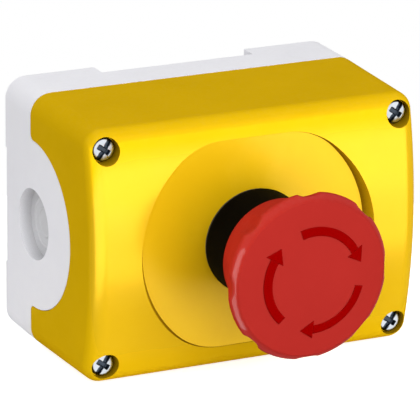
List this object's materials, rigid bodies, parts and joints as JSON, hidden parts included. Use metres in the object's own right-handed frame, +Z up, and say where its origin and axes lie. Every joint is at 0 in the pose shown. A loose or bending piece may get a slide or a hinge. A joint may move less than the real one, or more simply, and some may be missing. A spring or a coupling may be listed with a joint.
{
  "type": "enclosed emergency stop switch",
  "caption": "Wall-mounted yellow and grey case with a red twist-to-release mushroom button that opens sprung contacts inside, with blind cable entries in the end walls.",
  "frame": {"origin": "centre of the four wall screw holes, on the plane of the pads that meet the wall", "axes": "+X to the right along the long side, +Z up along the short side, +Y into the wall; the button faces -Y"},
  "size_m": [0.086, 0.0801, 0.063],
  "materials": {
    "base_grey": "fine matt moulding, light grey",
    "lid_yellow": "glossy moulding, signal yellow",
    "seal_rubber": "soft, dull black",
    "zinc_steel": "bright zinc plate",
    "collar_black": "satin black moulding",
    "stem_white": "natural white moulding",
    "spring_steel": "drawn wire",
    "head_red": "satin gloss moulding, signal red",
    "block_grey": "fine matt moulding, dark grey",
    "contact_brass": "rolled strip"
  },
  "bodies": {
    "case": {"base_shell": "base_grey", "lid_shell": "lid_yellow", "lid_seal": "seal_rubber", "lid_screws": "zinc_steel", "bezel_collar": "collar_black", "panel_gasket": "seal_rubber", "lock_nut": "collar_black", "stem_seal": "seal_rubber", "latch_clip": "spring_steel", "trip_spring": "spring_steel", "contact_holder": "collar_black", "contact_block_left": "block_grey", "contact_cover_left": "block_grey", "terminal_straps_left": "contact_brass", "terminal_clamps_left": "zinc_steel", "terminal_screws_left": "zinc_steel", "contact_spring_left": "spring_steel", "contact_block_right": "block_grey", "contact_cover_right": "block_grey", "terminal_straps_right": "contact_brass", "terminal_clamps_right": "zinc_steel", "terminal_screws_right": "zinc_steel", "contact_spring_right": "spring_steel"},
    "plunger": {"stem": "stem_white", "head_retaining_ring": "spring_steel", "twist_spring": "spring_steel"},
    "head": {"mushroom_head": "head_red"},
    "contact_left": {"contact_slider_left": "stem_white", "contact_bridge_left": "contact_brass"},
    "contact_right": {"contact_slider_right": "stem_white", "contact_bridge_right": "contact_brass"}
  },
  "joints": [
    {"name": "push", "type": "slide", "parent": "case", "child": "plunger", "axis": [0, 1, 0], "range_m": [0, 0.004], "deforming": ["trip_spring", "latch_clip"]},
    {"name": "twist_release", "type": "hinge", "parent": "plunger", "child": "head", "pos_m": [0, -0.0702, 0], "axis": [0, 1, 0], "range_deg": [0, 45], "stiffness_Nm_per_rad": 0.02, "deforming": ["twist_spring"]},
    {"name": "contact_slide_left", "type": "slide", "parent": "case", "child": "contact_left", "axis": [0, 1, 0], "range_m": [0, 0.004], "deforming": ["contact_spring_left"]},
    {"name": "contact_slide_right", "type": "slide", "parent": "case", "child": "contact_right", "axis": [0, 1, 0], "range_m": [0, 0.004], "deforming": ["contact_spring_right"]}
  ],
  "couplings": [
    {"joint": "contact_slide_left", "follows": "push", "ratio": 1},
    {"joint": "contact_slide_right", "follows": "push", "ratio": 1}
  ]
}
